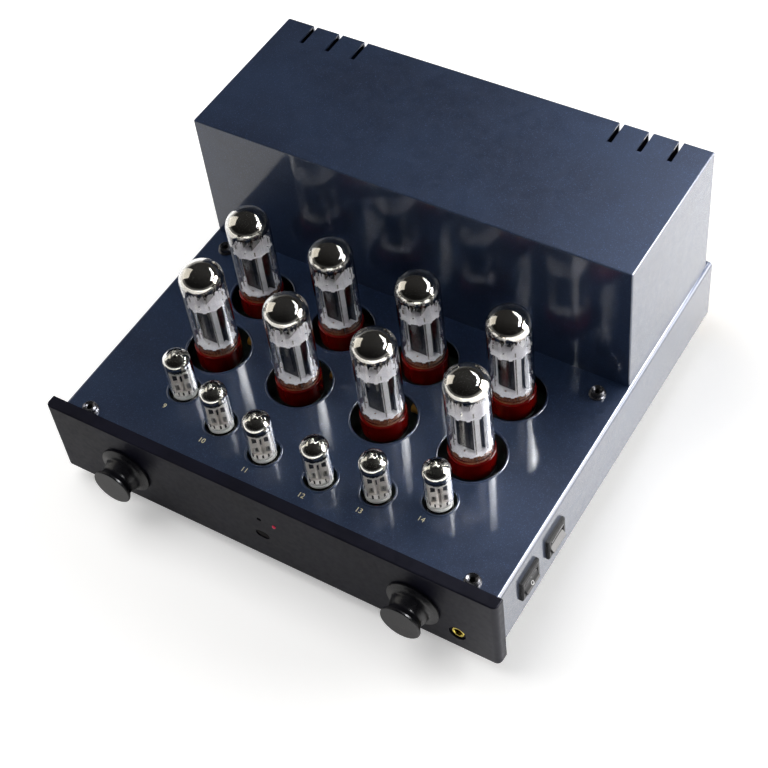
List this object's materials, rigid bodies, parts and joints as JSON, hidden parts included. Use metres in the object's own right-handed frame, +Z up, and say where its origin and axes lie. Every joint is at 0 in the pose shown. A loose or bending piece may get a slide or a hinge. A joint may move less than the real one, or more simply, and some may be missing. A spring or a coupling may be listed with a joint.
{
  "type": "valve amplifier",
  "caption": "Integrated stereo valve amplifier: folded steel case with a thick front panel, two knobs, open glass valves in rows and a boxed transformer cover behind.",
  "frame": {"origin": "on the floor under the middle of the width, half-way between the knob faces and the ends of the speaker posts", "axes": "+X to the listener's right, +Y from the front panel towards the rear connectors, +Z up"},
  "size_m": [0.386, 0.402, 0.198],
  "materials": {
    "case_paint": "gloss metallic",
    "panel_black": "satin black anodised",
    "bottom_paint": "matt black",
    "rear_paint": "satin black",
    "screw_black": "blackened",
    "foot_rubber": "matt",
    "bushing_chrome": "dark chrome",
    "valve_base": "dark red phenolic",
    "valve_glass": "clear blown glass",
    "anode_grey": "carbonised nickel",
    "mica": "white mica sheet",
    "getter_metal": "nickel wire",
    "pin_metal": "plated",
    "socket_black": "black moulding",
    "small_anode": "bright nickel",
    "board_green": "solder resist",
    "standoff_steel": "plated",
    "can_sleeve": "shrink sleeve",
    "film_cap": "dipped",
    "coil_wrap": "varnished copper winding",
    "washer_steel": "zinc plated",
    "core_steel": "varnished laminations",
    "bracket_steel": "black",
    "control_body": "plated can",
    "shaft_steel": "turned",
    "knob_black": "matt black anodised",
    "window_dark": "dark acrylic",
    "led_red": "red lens",
    "jack_gold": "gold plated",
    "jack_plastic": "black moulding",
    "bezel_black": "black moulding",
    "rocker_black": "black moulding",
    "inlet_black": "black moulding",
    "blade_metal": "plated",
    "drawer_black": "black moulding",
    "phono_gold": "gold plated",
    "phono_insulator": "white insulator",
    "stud_gold": "gold plated",
    "collar_black": "black moulding",
    "cap_black": "black moulding",
    "cap_red": "red moulding"
  },
  "bodies": {
    "amplifier": {"chassis_shell": "case_paint", "front_panel": "panel_black", "bottom_plate": "bottom_paint", "rear_panel": "rear_paint", "transformer_cover": "case_paint", "panel_screws": "screw_black", "feet": "foot_rubber", "foot_screws": "screw_black", "cage_bushings": "bushing_chrome", "power_tube_bases": "valve_base", "power_tube_glass": "valve_glass", "power_tube_plates": "anode_grey", "power_tube_micas": "mica", "power_tube_getters": "getter_metal", "power_tube_pins": "pin_metal", "octal_sockets": "socket_black", "signal_tube_glass": "valve_glass", "signal_tube_plates": "small_anode", "signal_tube_micas": "mica", "signal_tube_getters": "getter_metal", "signal_tube_pins": "pin_metal", "noval_sockets": "socket_black", "tube_board": "board_green", "driver_board": "board_green", "power_board": "board_green", "board_standoffs": "standoff_steel", "filter_capacitors": "can_sleeve", "coupling_capacitors": "film_cap", "mains_coil": "coil_wrap", "mains_washers": "washer_steel", "mains_bolt": "washer_steel", "output_cores": "core_steel", "output_coils": "coil_wrap", "output_brackets": "bracket_steel", "volume_pot": "control_body", "input_switch": "control_body", "ir_window": "window_dark", "power_led": "led_red", "jack_ring": "jack_gold", "jack_body": "jack_plastic", "switch_bezels": "bezel_black", "mains_inlet": "inlet_black", "inlet_pins": "blade_metal", "rca_shells": "phono_gold", "rca_insulators": "phono_insulator", "post_studs": "stud_gold", "post_collars": "collar_black"},
    "volume_control": {"volume_knob": "knob_black", "volume_shaft": "shaft_steel"},
    "input_control": {"input_knob": "knob_black", "input_shaft": "shaft_steel"},
    "power_rocker": {"power_rocker": "rocker_black"},
    "mode_rocker": {"mode_rocker": "rocker_black"},
    "fuse_drawer": {"fuse_drawer": "drawer_black"},
    "post_cap_1": {"post_cap_1": "cap_black"},
    "post_cap_2": {"post_cap_2": "cap_red"},
    "post_cap_3": {"post_cap_3": "cap_red"},
    "post_cap_4": {"post_cap_4": "cap_red"},
    "post_cap_5": {"post_cap_5": "cap_red"},
    "post_cap_6": {"post_cap_6": "cap_black"}
  },
  "joints": [
    {"name": "volume_turn", "type": "hinge", "parent": "amplifier", "child": "volume_control", "pos_m": [-0.126, -0.19, 0.0477], "axis": [0, 1, 0], "range_deg": [-150, 150]},
    {"name": "input_turn", "type": "hinge", "parent": "amplifier", "child": "input_control", "pos_m": [0.126, -0.19, 0.0477], "axis": [0, 1, 0], "range_deg": [-75, 75]},
    {"name": "power_rocker_tilt", "type": "hinge", "parent": "amplifier", "child": "power_rocker", "pos_m": [0.18435, -0.1285, 0.05], "axis": [0, 1, 0], "range_deg": [0, 16]},
    {"name": "mode_rocker_tilt", "type": "hinge", "parent": "amplifier", "child": "mode_rocker", "pos_m": [0.18435, -0.0895, 0.05], "axis": [0, 1, 0], "range_deg": [0, 16]},
    {"name": "fuse_drawer_slide", "type": "slide", "parent": "amplifier", "child": "fuse_drawer", "axis": [0, 1, 0], "range_m": [0, 0.016]},
    {"name": "post_cap_1_turn", "type": "hinge", "parent": "amplifier", "child": "post_cap_1", "pos_m": [0.054, 0.19, 0.049], "axis": [0, 1, 0], "range_deg": [0, 360]},
    {"name": "post_cap_2_turn", "type": "hinge", "parent": "amplifier", "child": "post_cap_2", "pos_m": [0.03, 0.19, 0.049], "axis": [0, 1, 0], "range_deg": [0, 360]},
    {"name": "post_cap_3_turn", "type": "hinge", "parent": "amplifier", "child": "post_cap_3", "pos_m": [0.006, 0.19, 0.049], "axis": [0, 1, 0], "range_deg": [0, 360]},
    {"name": "post_cap_4_turn", "type": "hinge", "parent": "amplifier", "child": "post_cap_4", "pos_m": [-0.03, 0.19, 0.049], "axis": [0, 1, 0], "range_deg": [0, 360]},
    {"name": "post_cap_5_turn", "type": "hinge", "parent": "amplifier", "child": "post_cap_5", "pos_m": [-0.054, 0.19, 0.049], "axis": [0, 1, 0], "range_deg": [0, 360]},
    {"name": "post_cap_6_turn", "type": "hinge", "parent": "amplifier", "child": "post_cap_6", "pos_m": [-0.078, 0.19, 0.049], "axis": [0, 1, 0], "range_deg": [0, 360]}
  ]
}
